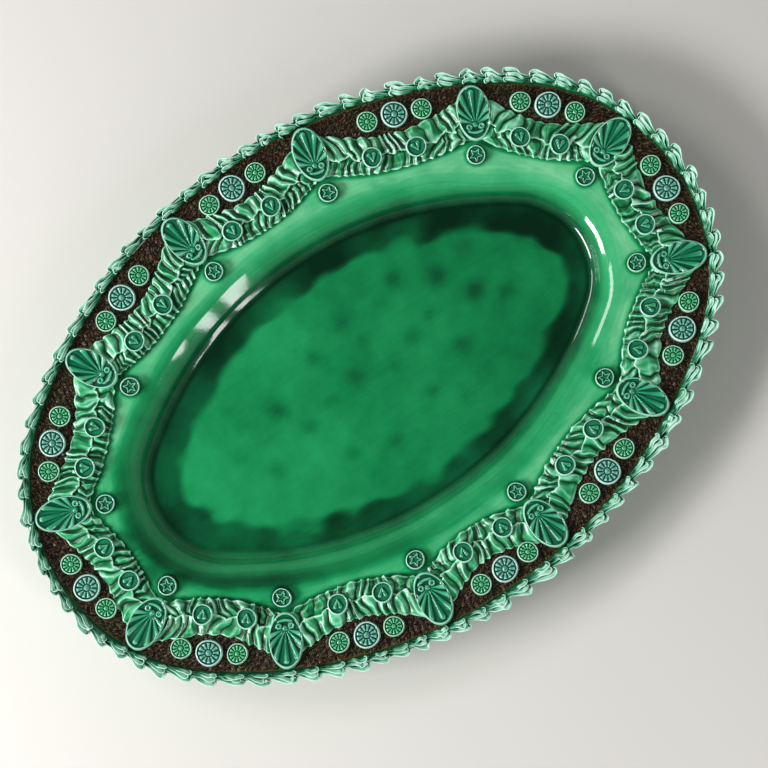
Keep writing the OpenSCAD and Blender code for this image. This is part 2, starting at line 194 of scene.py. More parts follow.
def corners_of(piece):
    spots = np.empty(3 * len(piece.data.vertices))
    piece.data.vertices.foreach_get("co", spots)
    return spots.reshape(-1, 3) * 1000


def note(piece, name, values):
    made = piece.data.attributes.new(name, "FLOAT", "POINT")
    made.data.foreach_set("value", np.asarray(values, np.float32))


def from_hex(code):
    parts = [int(code[k : k + 2], 16) / 255 for k in (0, 2, 4)]
    return [p / 12.92 if p <= 0.04045 else ((p + 0.055) / 1.055) ** 2.4 for p in parts] + [1]


def add_node(tree, kind, links=None, **settings):
    """Adds a node with its settings; links holds its inputs: numbers, colours or other nodes' outputs."""
    made = tree.nodes.new(kind)
    for key, value in settings.items():
        setattr(made, key, value)
    for key, value in (links or {}).items():
        if isinstance(value, bpy.types.NodeSocket):
            tree.links.new(value, made.inputs[key])
        else:
            made.inputs[key].default_value = value
    return made


def set_colours(ramp, colours):
    """Gives a colour ramp its stops: pairs of a place from 0 to 1 and an sRGB hex colour."""
    stops = ramp.color_ramp.elements
    while len(stops) < len(colours):
        stops.new(0.5)
    for stop, (place, code) in zip(stops, colours):
        stop.position, stop.color = place, from_hex(code)


def glaze_coat(name, colours, mottle, mottle_size, gloss=0.1, attribute="glaze", wiped=0.0):
    """Transparent coloured lead glaze, fired glossy: the colour follows its depth, which the attribute holds.
    Mottle shifts that depth in clouds of the given size in mm, and wiped shifts it in fine straight strokes,
    as a brush leaves them."""
    coat = bpy.data.materials.new(name)
    coat.use_nodes = True
    tree = coat.node_tree
    shader = tree.nodes["Principled BSDF"]
    place = add_node(tree, "ShaderNodeTexCoord").outputs["Object"]
    depth = add_node(tree, "ShaderNodeAttribute", attribute_name=attribute).outputs["Fac"]
    clouds = add_node(
        tree,
        "ShaderNodeTexNoise",
        {"Vector": place, "Scale": 1000 / mottle_size, "Detail": 4.0, "Roughness": 0.6},
    )
    shifts = [(clouds, mottle)]
    if wiped:
        # The strokes are 2.2 mm apart and 25 times as long
        turned = add_node(
            tree,
            "ShaderNodeMapping",
            {"Vector": place, "Rotation": (0, 0, 0.25), "Scale": (0.04, 1.0, 1.0)},
        )
        strokes = add_node(
            tree,
            "ShaderNodeTexNoise",
            {"Vector": turned.outputs["Vector"], "Scale": 1000 / 2.2, "Detail": 2.0},
        )
        shifts.append((strokes, wiped))
    for cause, amount in shifts:
        shift = add_node(
            tree,
            "ShaderNodeMath",
            {0: cause.outputs["Fac"], 1: amount, 2: -0.5 * amount},
            operation="MULTIPLY_ADD",
        )
        depth = add_node(tree, "ShaderNodeMath", {0: depth, 1: shift.outputs[0]}, operation="ADD").outputs[0]
    ramp = add_node(tree, "ShaderNodeValToRGB", {"Fac": depth})
    set_colours(ramp, colours)
    tree.links.new(ramp.outputs["Color"], shader.inputs["Base Color"])
    shader.inputs["Roughness"].default_value = gloss
    shader.inputs["IOR"].default_value = 1.5
    # Its skin has faint ripples, 1.6 mm across and 0.015 mm deep
    ripple = add_node(tree, "ShaderNodeTexNoise", {"Vector": place, "Scale": 1000 / 1.6, "Detail": 2.0})
    bump = add_node(
        tree,
        "ShaderNodeBump",
        {"Height": ripple.outputs["Fac"], "Distance": 0.015 * 0.001, "Strength": 1.0},
    )
    tree.links.new(bump.outputs["Normal"], shader.inputs["Normal"])
    return coat


def finish_piece(piece, slot, *nodes, coat=None):
    """Glazes a finished piece and lets it take the place of the plain solids of the nodes named."""
    if coat:
        piece.data.materials.clear()
        piece.data.materials.append(coat)
    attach(piece, "root")
    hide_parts(*nodes)


def arc(centre, radius, first, last, count):
    """Points of the dish's section along an arc; the angles, in degrees, count from straight up."""
    turn = np.radians(np.linspace(first, last, count))
    return [(centre[0] + radius * math.sin(a), centre[1] + radius * math.cos(a), 1.0) for a in turn]


def along_flange(first, last, count, sunk=0.0):
    """Points of it along the flange's slope, from one inset to another, sunk so many mm below its face."""
    return [(inset, float(flange_height(inset)) - sunk, 1.0) for inset in np.linspace(first, last, count)]


# The section, as inset, height and share of the way out from the middle: floor, wall, shoulder and flange,
MID_FLOOR = WELL_INSET + 20
section = [(MID_FLOOR, FLOOR_HEIGHT, k / 26) for k in range(26)]
section += [(inset, FLOOR_HEIGHT, 1.0) for inset in np.linspace(MID_FLOOR, WELL_INSET + 1, 12)]
section += arc(HOLLOW, -HOLLOW_RADIUS, 0, WALL_DEGREES, 9)
section += arc(SHOULDER, SHOULDER_RADIUS, WALL_DEGREES, FLANGE_DEGREES, 20)
section += along_flange(59.5, BAND_INNER + 0.6, 18)
plain_rows = len(section)
# the bed of the grit band, the level land under the frill, the rounded edge,
section += along_flange(BAND_INNER - 0.1, BAND_OUTER + 0.1, 6, BED_DEPTH)
section += [(inset, LAND_HEIGHT, 1.0) for inset in (9.0, 7.2, 5.8)]
section += arc((EDGE_INSET + EDGE_ROUND, LAND_HEIGHT - EDGE_ROUND), EDGE_ROUND, 0, -90, 5)
section += arc((EDGE_INSET + EDGE_ROUND, LAND_HEIGHT - SLAB + EDGE_ROUND), EDGE_ROUND, -90, -180, 5)
# and the underside back to the middle
section += along_flange(9.2, 58, 8, SLAB)
section += arc(SHOULDER, SHOULDER_RADIUS - SLAB, FLANGE_DEGREES, WALL_DEGREES, 8)
section += arc(HOLLOW, -HOLLOW_RADIUS - SLAB, WALL_DEGREES, 0, 6)
section += [(MID_FLOOR, FLOOR_HEIGHT - SLAB, k / 5) for k in range(5, -1, -1)]
section = np.array(section)
dish, around, row = clay_sheet("dish", 700, len(section) - 1)
row = np.rint(row * (len(section) - 1)).astype(int)
inset, z, spread = section[row].T
x, y = spot_at(outward_at(around), inset)
x, y = x * spread, y * spread
on_top = (row < plain_rows) & (inset > BAND_INNER + 0.3)
swell = 0.3 * hand_swell(x, y, 75, 3) + 0.1 * hand_swell(x, y, 24, 4)
form_clay(dish, x, y, z + np.where(on_top, swell * ease(inset, 40, 48), 0))


def bell(value, middle, width):
    """1 at a middle, fading to nothing on both sides of it."""
    return np.exp(-(((value - middle) / width) ** 2))


# The depth of its glaze, to which painted shade and painted light are added below: 0 is the thinnest and
# lightest, 1 the deepest pool and darkest. It follows the inset, in mm, and the way round, in radians from
# the +X end, which compass counts to pi both ways and around counts to 2 pi.
spots = corners_of(dish)
x, y = spots[:, 0], spots[:, 1]
inset, share = inset_of(x, y), share_of(x, y)
compass = np.arctan2(y / 105, x / 180)
around = np.mod(compass, 2 * np.pi)
depth = 0.27 + 0.05 * hand_swell(x, y, 55, 31) + 0.02 * hand_swell(x, y, 17, 32)
# The glaze ran towards the -X end and left the other end thin and light; the darker flange there is partly
# that pooled glaze and partly painted shade where the flange faces away from the window lamp
shaded_low_end = bell(around, 3.6, 0.85)
depth += (0.2 + 0.08 * ease(inset, 56, 64) - 0.22 * ease(inset, 65, 73)) * shaded_low_end * ease(inset, 44, 60)
# These terms follow the way round: partly the glaze's own thickness, partly painted shade and painted light
# by the way the slope faces the lamps
depth += (0.08 - 0.14 * np.cos(compass - 0.5)) * ease(inset, 57, 63) * (1 - ease(inset, 66, 77))
depth -= 0.05 * bell(compass, 0.1, 0.5) * ease(inset, 46, 58) * (1 - ease(inset, 70, 78))
depth += 0.05 * (1 + np.cos(compass - 1.3)) * ease(inset, 60, 69)
depth -= 0.026 * (1 + np.cos(compass - 0.9)) * ease(inset, 44, 50) * (1 - ease(inset, 57, 64))
# It deepens down the shoulder and the wall
wall = np.interp(inset, [58, 66, 71, 74, 77, 80, 83, 86], [0, 0.04, 0.1, 0.19, 0.36, 0.48, 0.54, 0.56])
depth += wall * (1 - 0.3 * shaded_low_end)
# Fine strokes of the brush run round the flange
strokes = np.random.default_rng(61).normal(0, 1, 64)
brushed = np.interp(inset + 1.6 * hand_swell(x, y, 80, 51), np.linspace(44, 82, 64), strokes)
depth += 0.022 * brushed * ease(inset, 45, 50) * (1 - ease(inset, 76, 80))
# The floor is cloudy, with a dark ring of pooled glaze along its edge and dark spots where it sank in
on_floor = ease(inset, 82, 86)
clouds = 0.56 + 0.035 * hand_swell(x, y, 70, 21) + 0.02 * hand_swell(x, y, 26, 22) + 0.00035 * x
depth += (clouds - depth) * on_floor
ring_end = 98.0 + 4 * bell(compass, 0.3, 0.35) - 3.5 * bell(around, 4.7, 0.6) + 4 * bell(around, 3.0, 0.65)
ring_end += 2.4 * hand_swell(x, y, 52, 11) + 2.6 * hand_swell(x, y, 19, 12)
ring = on_floor * (1 - ease(inset, ring_end - 4, ring_end + 4))
pooled = 0.27 + 0.06 * np.cos(compass - 0.9) + 0.07 * shaded_low_end
depth += ring * pooled * (1 + 0.4 * hand_swell(x, y, 48, 13))
depth += 0.12 * bell(inset, 83.6, 1.3) * (1 - 0.7 * shaded_low_end)
# Each dark spot: its place and size, in mm, and its strength
for px, py, size, strength in (
    (-62, 16, 6, 0.11), (-50, -4, 5, 0.08), (-24, 32, 5, 0.08), (-8, 6, 6, 0.1), (16, -2, 5, 0.07),
    (38, 6, 6, 0.1), (28, -30, 5, 0.08), (72, 30, 7, 0.13), (88, 8, 7, 0.14), (60, -16, 6, 0.1),
    (-84, -14, 6, 0.08), (-38, -34, 5, 0.07), (4, 40, 6, 0.09), (48, 44, 6, 0.1), (-10, -44, 6, 0.07),
    (104, -4, 6, 0.1), (55, 12, 5, 0.09), (-100, 4, 6, 0.07), (10, 22, 5, 0.06), (-30, 2, 5, 0.06),
):
    depth += 1.5 * strength * bell(np.hypot(x - px, y - py), 0, size)
# A dark line along the swags' hems and round the star buttons: partly glaze run together there, partly
# painted shadow at their edges
lap = np.where(share < PLAQUES[0], share + 1, share)
bay = np.clip(np.searchsorted(PLAQUES, lap) - 1, 0, 11)
along = (lap - PLAQUES[bay]) / (PLAQUES[bay + 1] - PLAQUES[bay])
hem = swag_inset(along, 1.0)
depth += 0.38 * bell(np.maximum(inset - hem, 0), 0, 1.3) * (inset < 60) * (inset > BAND_INNER)
star_x, star_y = spot_at(outward_at(PLAQUES[:12]), STAR_INSET)
for px, py in zip(star_x, star_y):
    depth += 0.45 * bell(np.maximum(np.hypot(x - px, y - py) - STAR_RADIUS, 0), 0, 1.4)
# A near-black band on the land where the frill stands on the rim: painted shadow under and between the
# ruffles
depth += 0.6 * (1 - ease(inset, 9.2, 10)) * (spots[:, 2] > LAND_HEIGHT - 0.5)
# Underneath, the coat is plain and only a little cloudy
facing = np.empty(3 * len(spots))
dish.data.vertex_normals.foreach_get("vector", facing)
depth = np.where(facing[2::3] > -0.1, depth, 0.42 + 0.05 * hand_swell(x, y, 45, 33))
note(dish, "glaze_depth_and_shade", depth)
dish_coat = glaze_coat(
    "emerald lead glaze",
    [
        (0.0, "9edba6"), (0.16, "77ca94"), (0.3, "46b076"), (0.45, "20955a"),
        (0.6, "107a45"), (0.75, "095632"), (0.88, "053a20"), (1.0, "022714"),
    ],
    mottle=0.13,
    mottle_size=10,
    gloss=0.07,
    attribute="glaze_depth_and_shade",
    wiped=0.05,
)
finish_piece(dish, "dish_glaze", "body", coat=dish_coat)

# The foot ring: a strip of clay luted under the floor of the well, wiped clean of glaze so that it doesn't
# stick to the kiln shelf. It is bare buff earthenware, with its lower corners rounded by the wet sponge.
# The inset of its outer side, its width at the floor and at its base, its height, how far its top is pressed
# into the floor, and the rounding of its lower corners
FOOT_OUTER, FOOT_WIDE, FOOT_BASE, FOOT_TALL = 87.47, 9.1, 5.99, 5.0
FOOT_SUNK, FOOT_ROUND = 0.3, 1.2
bpy.ops.object.select_all(action="DESELECT")
bpy.ops.mesh.primitive_plane_add(size=0.001)
foot = bpy.context.object
foot.name = foot.data.name = "foot_ring_clay"
middle = END_CENTRE + END_RADIUS - FOOT_OUTER - FOOT_WIDE / 2
ring_radius = middle - END_CENTRE
start = Vector(
    (
        END_CENTRE + ring_radius * math.cos(END_HALF),
        -ring_radius * math.sin(END_HALF),
        (FOOT_TALL + FOOT_SUNK) / 2,
    )
)
bpy.ops.object.mode_set(mode="EDIT")
bpy.ops.transform.resize(value=(FOOT_WIDE, FOOT_TALL + FOOT_SUNK, 1))
bpy.ops.mesh.select_all(action="DESELECT")
bpy.ops.object.mode_set(mode="OBJECT")
for corner in foot.data.vertices:
    corner.select = corner.co.y < 0
bpy.ops.object.mode_set(mode="EDIT")
bpy.ops.transform.resize(value=(FOOT_BASE / FOOT_WIDE, 1, 1))
bpy.ops.mesh.bevel(offset=FOOT_ROUND * 0.001, segments=4, affect="VERTICES")
bpy.ops.mesh.select_all(action="SELECT")
bpy.ops.mesh.delete(type="ONLY_FACE")
bpy.ops.object.mode_set(mode="OBJECT")
# The section is stood up where the first arc begins, facing along it
upright = Matrix.Rotation(math.pi / 2, 4, "X")
foot.data.transform(Matrix.Translation(start * 0.001) @ Matrix.Rotation(-END_HALF, 4, "Z") @ upright)
bpy.ops.object.mode_set(mode="EDIT")
bpy.ops.mesh.select_all(action="SELECT")
# and spun round the four arcs of the oval: the middle of each, its angle and the number of steps
for cx, cy, turn, steps in (
    (END_CENTRE, 0, 2 * END_HALF, 60),
    (0, -SIDE_CENTRE, math.pi - 2 * END_HALF, 90),
    (-END_CENTRE, 0, 2 * END_HALF, 60),
    (0, SIDE_CENTRE, math.pi - 2 * END_HALF, 90),
):
    bpy.ops.mesh.spin(steps=steps, angle=-turn, center=(cx * 0.001, cy * 0.001, 0), axis=(0, 0, 1))
bpy.ops.mesh.select_all(action="SELECT")
bpy.ops.mesh.remove_doubles(threshold=1e-5)
bpy.ops.mesh.normals_make_consistent(inside=False)
bpy.ops.object.mode_set(mode="OBJECT")
bpy.ops.object.shade_smooth_by_angle(angle=math.radians(40))
# Bare fired clay: matt, with a fine grain and broad pale and dark clouds
bare = bpy.data.materials.new("bare buff earthenware")
bare.use_nodes = True
tree = bare.node_tree
place = add_node(tree, "ShaderNodeTexCoord").outputs["Object"]
grain = add_node(tree, "ShaderNodeTexNoise", {"Vector": place, "Scale": 1000 / 1.2, "Detail": 4.0})
tone = add_node(tree, "ShaderNodeTexNoise", {"Vector": place, "Scale": 1000 / 25, "Detail": 2.0})
mixed = add_node(
    tree,
    "ShaderNodeMath",
    {0: grain.outputs["Fac"], 1: tone.outputs["Fac"]},
    operation="MULTIPLY",
)
ramp = add_node(tree, "ShaderNodeValToRGB", {"Fac": mixed.outputs[0]})
set_colours(ramp, [(0.1, "8d6d4a"), (0.3, "b8956a"), (0.5, "cdb088")])
tree.links.new(ramp.outputs["Color"], tree.nodes["Principled BSDF"].inputs["Base Color"])
tree.nodes["Principled BSDF"].inputs["Roughness"].default_value = 0.75
rough = add_node(tree, "ShaderNodeBump", {"Height": grain.outputs["Fac"], "Distance": 0.0002})
tree.links.new(rough.outputs["Normal"], tree.nodes["Principled BSDF"].inputs["Normal"])
finish_piece(foot, "bare_clay", "foot_ring", coat=bare)


# The grit band: coarse crushed clay laid in a shallow bed round the flange, under a thick brown glaze.
# The grains stand up as a rough, shining skin, olive in places and ochre on their tips, partly where the
# glaze is thinnest and partly as painted glints.
def note_glaze(piece, sharp, broad, steps, raised=0.0):
    """Glaze runs off what stands proud of the clay round it and gathers in what lies deeper. The attribute
    runs from 0 in the deepest recess to 1 on the sharpest edge; 0.5 is level clay, and the most a wall gets.
    Each spot is compared with the same clay smoothed in a few and in many steps: sharp and broad are the
    heights over it, in mm, that count as 1, and raised is added to their sum."""
    mesh = piece.data
    spots = corners_of(piece)
    normals = np.empty(3 * len(mesh.vertices))
    mesh.vertex_normals.foreach_get("vector", normals)
    normals = normals.reshape(-1, 3)
    ends = np.empty(2 * len(mesh.edges), np.int64)
    mesh.edges.foreach_get("vertices", ends)
    a, b = ends[0::2], ends[1::2]
    count = np.bincount(ends, minlength=len(spots))[:, None]
    eased, proud = spots.copy(), raised
    for step in range(1, steps[1] + 1):
        near = np.stack(
            [
                np.bincount(a, eased[b, k], len(spots)) + np.bincount(b, eased[a, k], len(spots))
                for k in range(3)
            ],
            1,
        )
        eased = (eased + near / count) / 2
        if step in steps:
            lift = np.einsum("ij,ij->i", spots - eased, normals)
            proud = proud + lift / (sharp if step == steps[0] else broad)
    proud = np.minimum(proud, 6 * ease(normals[:, 2], 0.0, 0.4))
    note(piece, "glaze", 0.5 + 0.5 * np.tanh(proud))


BAND_SUNK, BAND_PROUD, BAND_MIDDLE = -1.1, 0.25, 25.0
# Its section, as inset and height over the flange: up one side, over the face, down the other and back
rows = [(BAND_OUTER, BAND_SUNK), (BAND_OUTER, -0.2)]
rows += [(inset, BAND_PROUD) for inset in np.linspace(BAND_OUTER + 0.3, BAND_INNER - 0.3, 33)]
rows += [(BAND_INNER, -0.2), (BAND_INNER, BAND_SUNK), (BAND_MIDDLE, BAND_SUNK), (BAND_OUTER, BAND_SUNK)]
band, around, row = clay_sheet("grit_band_clay", 1300, len(rows) - 1)
inset, lift = np.array(rows)[np.rint(row * (len(rows) - 1)).astype(int)].T
x, y = spot_at(outward_at(around), inset)
grains = np.random.default_rng(5).normal(0, 0.2, len(x)).clip(-0.5, 0.6)
lumps = 0.12 * hand_swell(x, y, 5, 41) + 0.1 * hand_swell(x, y, 2.5, 42)
# Grains lie on its face alone, and not on the seam, where the sheet's two ends have to meet
grains = grains * (around < 1) * (around > 0)
form_clay(band, x, y, flange_height(inset) + lift + (lift > 0) * (grains + lumps))
note_glaze(band, 0.25, 0.6, (2, 12))
# Sharp grains under brown glaze: dark between them, and ochre or olive on their tips, partly thin glaze and
# partly painted glints, besides the glaze's own gloss. The grains are drawn 0.75 mm across, somewhat coarser
# than they are, so that they show.
grit = bpy.data.materials.new("brown glazed grit")
grit.use_nodes = True
tree = grit.node_tree
place = add_node(tree, "ShaderNodeTexCoord").outputs["Object"]
proud = add_node(tree, "ShaderNodeAttribute", attribute_name="glaze").outputs["Fac"]
speck = add_node(
    tree,
    "ShaderNodeTexNoise",
    {"Vector": place, "Scale": 1000 / 0.75, "Detail": 2.0, "Roughness": 0.6},
)
patch = add_node(tree, "ShaderNodeTexNoise", {"Vector": place, "Scale": 1000 / 16, "Detail": 2.0})
level = add_node(tree, "ShaderNodeMath", {0: speck.outputs["Fac"], 1: proud}, operation="MULTIPLY")
tint = add_node(tree, "ShaderNodeValToRGB", {"Fac": level.outputs[0]})
set_colours(tint, [(0.1, "0b0603"), (0.25, "24170b"), (0.4, "3f2c19"), (0.58, "84673e")])
olive = add_node(tree, "ShaderNodeValToRGB", {"Fac": level.outputs[0]})
set_colours(olive, [(0.1, "0a0a04"), (0.25, "1f1c0b"), (0.4, "363217"), (0.58, "746b36")])
where = add_node(
    tree,
    "ShaderNodeMapRange",
    {"Value": patch.outputs["Fac"], "From Min": 0.48, "From Max": 0.66},
)
blend = add_node(
    tree,
    "ShaderNodeMix",
    {0: where.outputs[0], 6: tint.outputs["Color"], 7: olive.outputs["Color"]},
    data_type="RGBA",
)
tree.links.new(blend.outputs[2], tree.nodes["Principled BSDF"].inputs["Base Color"])
tree.nodes["Principled BSDF"].inputs["Roughness"].default_value = 0.16
rough = add_node(tree, "ShaderNodeBump", {"Height": speck.outputs["Fac"], "Distance": 0.0003})
tree.links.new(rough.outputs["Normal"], tree.nodes["Principled BSDF"].inputs["Normal"])
finish_piece(band, "brown_grit", "grit_band", coat=grit)

# The frilled rim: ruffles of thin clay, three leaves deep, pinched into lobes and stood on a flat strip.
# They are laid on the edge in twelve lengths that butt. The glaze leaves their thin edges almost white; their
# tops are painted lighter and the slots between the leaves darker by their height, as painted light and
# painted shade over the green glaze.
LOBES = 84
LOBES_EACH = LOBES // 12
FRILL_LINE = 0.4
hand = np.random.default_rng(17)
# Where each lobe starts, counted in even lobes: uneven, as laid by hand, and carried on past both ends
lobe_start = np.concatenate([[0], np.cumsum(hand.uniform(0.8, 1.2, LOBES))])
lobe_start = lobe_start / lobe_start[-1] * LOBES
lobe_start = np.concatenate([[lobe_start[-2] - LOBES], lobe_start, lobe_start[1:4] + LOBES])


def length_round(inset):
    return 4 * quarter_of(inset)[1]


def round_rim(lobe):
    """The direction outward, and how far the hand-laid rim strays inward, at a place counted in lobes."""
    share = (np.interp(lobe, np.arange(len(lobe_start)) - 1, lobe_start) - 0.5) / LOBES
    stray = 0.4 + 1.6 * bell(np.mod(share, 1), 0.29, 0.12) + 0.4 * np.sin(share * 2 * np.pi * 9)
    return outward_at(share, FRILL_LINE), stray


def bend(points, along):
    """A smooth line through a few points that are evenly far apart."""
    points = np.array(points, float)
    k = np.clip(along, 0, 1) * (len(points) - 1)
    i = np.minimum(k.astype(int), len(points) - 2)
    before, start, end, after = (points[np.clip(i + n, 0, len(points) - 1)] for n in (-1, 0, 1, 2))
    f = (k - i)[:, None]
    pull, push, step = (end - before) / 2, (after - start) / 2, end - start
    return (start + f * (pull + f * (3 * step - 2 * pull - push + f * (pull + push - 2 * step)))).T


def join_pieces(first, *others):
    bpy.ops.object.select_all(action="DESELECT")
    for piece in (first, *others):
        piece.select_set(True)
    bpy.context.view_layer.objects.active = first
    bpy.ops.object.join()
    return first


# The section of a leaf, as shares of its half thickness and of its height; its thin edge leans outward
edge = np.array(
    [
        (-1, 0), (-1, 0.3), (-1, 0.6), (-1, 0.85), (-0.85, 0.97), (-0.6, 1),
        (-0.3, 0.95), (0.2, 0.85), (0.7, 0.76), (1, 0.6), (1, 0), (-1, 0),
    ]
)
leaf, along, row = clay_sheet("frill_leaf", 24, len(edge) - 1)
side, rise = edge[np.rint(row * (len(edge) - 1)).astype(int)].T
# It is closed at a size at which no two of its corners meet, and then measured again as shares
SPREAD = (24, 1, 8)
form_clay(leaf, along * SPREAD[0], side * SPREAD[1], rise * SPREAD[2])
along, side, rise = (corners_of(leaf) / SPREAD).T
along, rise = along.clip(0, 1), rise.clip(0, 1)
# Each lobe has three ruffles: the height of each, and its line from thin tail to round head, as points
# along the rim and in from it, in mm
RUFFLES = (
    (6.8, ((-2.2, 5.6), (1.8, 5.0), (5.8, 3.8), (9.6, 2.0), (13.0, 1.0), (15.7, 2.0), (15.6, 4.4))),
    (6.6, ((-1.0, 6.6), (2.4, 6.3), (5.8, 5.6), (9.0, 4.7), (12.0, 3.8), (13.7, 4.4), (13.2, 6.2))),
    (6.0, ((1.5, 7.6), (4.6, 7.5), (7.6, 7.2), (10.4, 6.8), (13.2, 6.4), (14.9, 7.4), (13.4, 8.8))),
)
LOBE_LENGTH = length_round(FRILL_LINE) / LOBES
# Where the strip lies over the land, the inset that the ruffles grow out from, and the least inset they reach
STRIP_LIFT, FRILL_ROOT, FRILL_REACH = 0.1, 6.0, -0.8
frill_coat = glaze_coat(
    "green glaze broken pale on thin edges",
    [
        (0.0, "03140c"), (0.2, "07351f"), (0.36, "1f784c"),
        (0.52, "54a985"), (0.7, "93d3b6"), (0.9, "cdf2df"),
    ],
    mottle=0.22,
    mottle_size=5,
    gloss=0.22,
)
hand = np.random.default_rng(23)
for number in range(12):
    strip, u, row = clay_sheet("rim_frill_strip", LOBES_EACH * 10, 6)
    base = np.array([(4.4, 0.0), (4.2, 1.0), (5.0, 1.8), (6.8, 1.8), (7.8, 1.0), (8.2, 0.0), (4.4, 0.0)])
    inset, z = base[np.rint(row * 6).astype(int)].T
    outward, stray = round_rim((number + u) * LOBES_EACH)
    x, y = spot_at(outward, inset + stray * 0.5)
    form_clay(strip, x, y, LAND_HEIGHT + STRIP_LIFT + z)
    leaves = [strip]
    for lobe in range(number * LOBES_EACH, (number + 1) * LOBES_EACH):
        grown, shift, wide = hand.uniform(0.9, 1.1), hand.uniform(-0.4, 0.4), hand.uniform(0.85, 1.15)
        # The frill is narrower on the far side of the -X end
        grown = grown * (1 - 0.24 * bell(lobe / LOBES, 0.4, 0.2))
        for tall, line in RUFFLES:
            line = np.array(line) + hand.normal(0, 0.45, (len(line), 2))
            run, inward = bend(line, along)
            ahead, behind = bend(line, along + 0.02), bend(line, along - 0.02)
            heading = np.arctan2(*(ahead - behind)[::-1])
            ends = np.sqrt(np.clip(np.minimum(along / 0.12, (1 - along) / 0.1), 0.02, 1))
            thick = side * ends * (0.62 + 0.5 * np.sin(np.pi * along**1.6)) * wide
            run, inward = run - thick * np.sin(heading), inward + thick * np.cos(heading)
            outward, stray = round_rim(lobe + 0.02 + run / LOBE_LENGTH)
            inset = FRILL_ROOT + (inward - FRILL_ROOT) * grown + shift + stray
            x, y = spot_at(outward, np.maximum(inset, FRILL_REACH))
            one = leaf.copy()
            one.data = leaf.data.copy()
            bpy.context.scene.collection.objects.link(one)
            height = rise * tall * (0.62 + 0.38 * np.sin(np.pi * along**1.5))
            lay_clay(one, x, y, LAND_HEIGHT + STRIP_LIFT + height)
            leaves.append(one)
    frill = join_pieces(*leaves)
    frill.name = frill.data.name = f"rim_frill_clay_{number + 1:02d}"
    # By height and inset the tops are painted pale and the slots between the ruffles dark, as painted light
    # and painted shade over the glaze's pale edges; the outer walls stay green
    x, y, z = corners_of(frill).T
    painted_slot_shade = -0.25 - 2.5 * ease(inset_of(x, y), 2.6, 6.0)
    note_glaze(frill, 0.26, 1.1, (2, 10), np.maximum((z - LAND_HEIGHT - 5.25) / 2.0, painted_slot_shade))
    finish_piece(frill, "frill_glaze", f"rim_frill_{number + 1:02d}", coat=frill_coat)
bpy.data.objects.remove(leaf)

# The ribbon swags: each is a strip of clay gathered by hand into pleats, in two rows that overlap in the
# middle. The upper row ends there in a sharp zigzag edge, the lower one in a thin wavy hem over the flange.
LINE_LENGTH = length_round(ORNAMENT_LINE)
PLAQUE_LONG, PLAQUE_WIDE = 35.0, 21.0


def plaque_flank(share, inset):
    """How far a swag's end stays from the middle of the plaque over it, as a share of the way round."""
    off = (inset - ORNAMENT_LINE) / (PLAQUE_LONG / 2)
    half = PLAQUE_WIDE / 2 * np.sqrt(np.maximum(1 - off**2, 0.12)) - 1.0
    outward = outward_at(share)
    on_end = abs(math.sin(outward)) * END_CENTRE <= abs(math.cos(outward)) * SIDE_CENTRE
    radius = END_RADIUS if on_end else SIDE_RADIUS
    return half * (radius - ORNAMENT_LINE) / (radius - inset) / LINE_LENGTH


# The glaze is fresh green on the pleats and pale where it breaks on their hems; the folds are dark, partly
# pooled glaze and partly painted shade by height over the flange
ribbon_coat = glaze_coat(
    "green glaze over pleats",
    [
        (0.0, "04301d"), (0.2, "0a5232"), (0.38, "1c8249"),
        (0.55, "39a36b"), (0.76, "7acba3"), (0.93, "bcebd2"),
    ],
    mottle=0.18,
    mottle_size=7,
    gloss=0.26,
)
